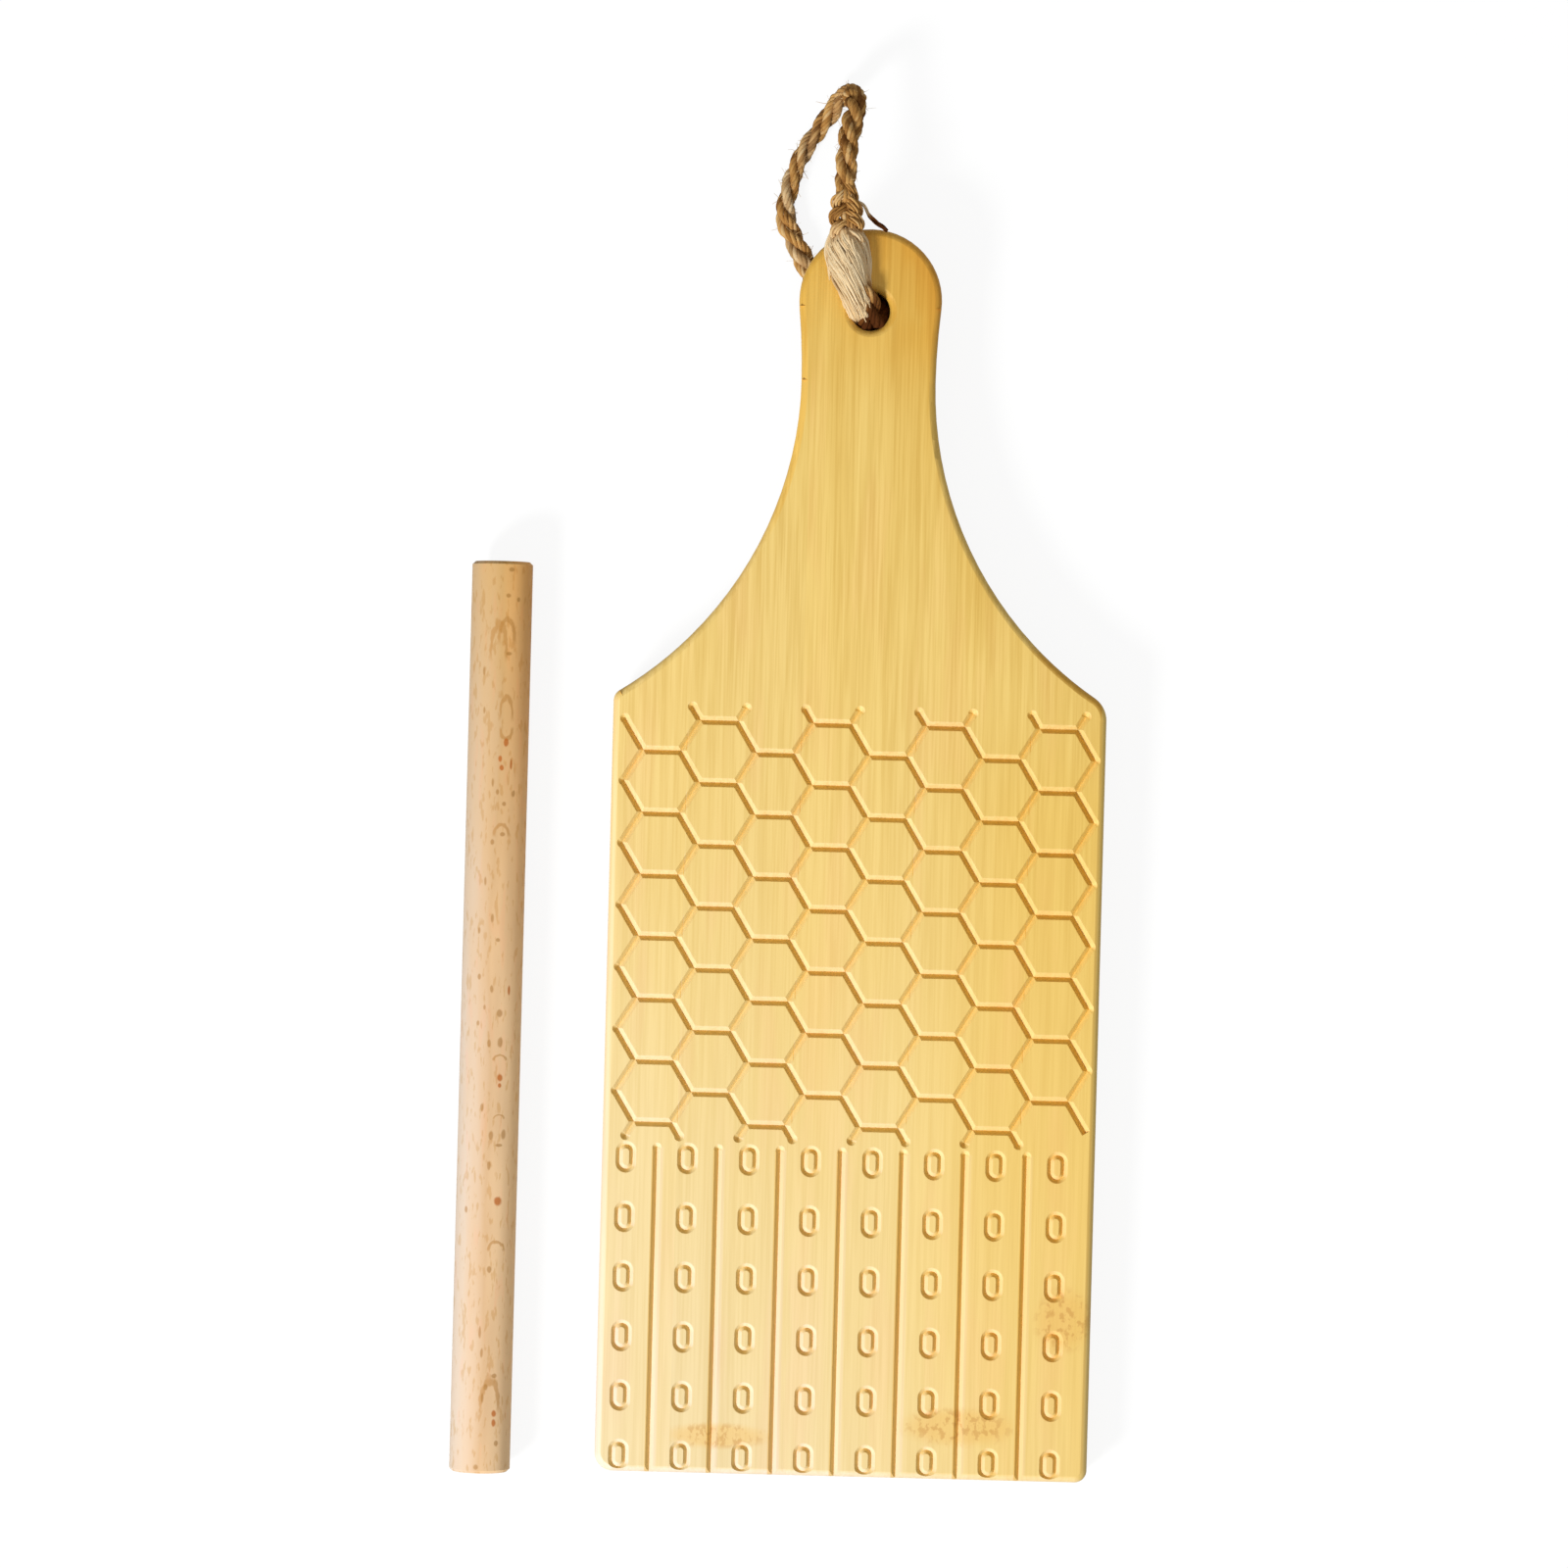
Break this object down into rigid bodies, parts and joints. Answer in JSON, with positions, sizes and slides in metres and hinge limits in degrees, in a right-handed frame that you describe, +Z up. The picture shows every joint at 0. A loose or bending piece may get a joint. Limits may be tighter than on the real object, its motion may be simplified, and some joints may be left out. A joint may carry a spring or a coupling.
{
  "type": "gnocchi board",
  "caption": "Bamboo gnocchi board with a handle, grooved honeycomb and oval lanes, a hanging cord loop through its handle, and a loose beech rolling dowel.",
  "frame": {"origin": "on the table, below the middle of the box round the paddle and the dowel, cord left out", "axes": "+Y along the paddle from its lower edge to its handle, +Z up from the table through the grooved face, +X across the paddle, away from the dowel"},
  "size_m": [0.105, 0.2299, 0.0176],
  "materials": {
    "bamboo_face": "fine sanded bamboo, oiled, vertical grain",
    "bamboo_back": "fine sanded bamboo, oiled, vertical grain",
    "beech": "plain sanded beech with ray flecks",
    "jute": "twisted jute twine",
    "jute_frayed": "untwisted pale jute fibres"
  },
  "bodies": {
    "paddle": {"face_stave_1": "bamboo_face", "face_stave_2": "bamboo_face", "face_stave_3": "bamboo_face", "face_stave_4": "bamboo_face", "face_stave_5": "bamboo_face", "back_stave_1": "bamboo_back", "back_stave_2": "bamboo_back", "back_stave_3": "bamboo_back", "back_stave_4": "bamboo_back", "back_stave_5": "bamboo_back", "cord_loop": "jute", "cord_knot": "jute", "cord_tail_short": "jute", "cord_tail_frayed": "jute_frayed"},
    "dowel": {"rolling_dowel": "beech"}
  },
  "joints": [
    {"name": "dowel_lift", "type": "slide", "parent": "paddle", "child": "dowel", "axis": [0, 0, 1], "range_m": [0, 0.1]}
  ]
}
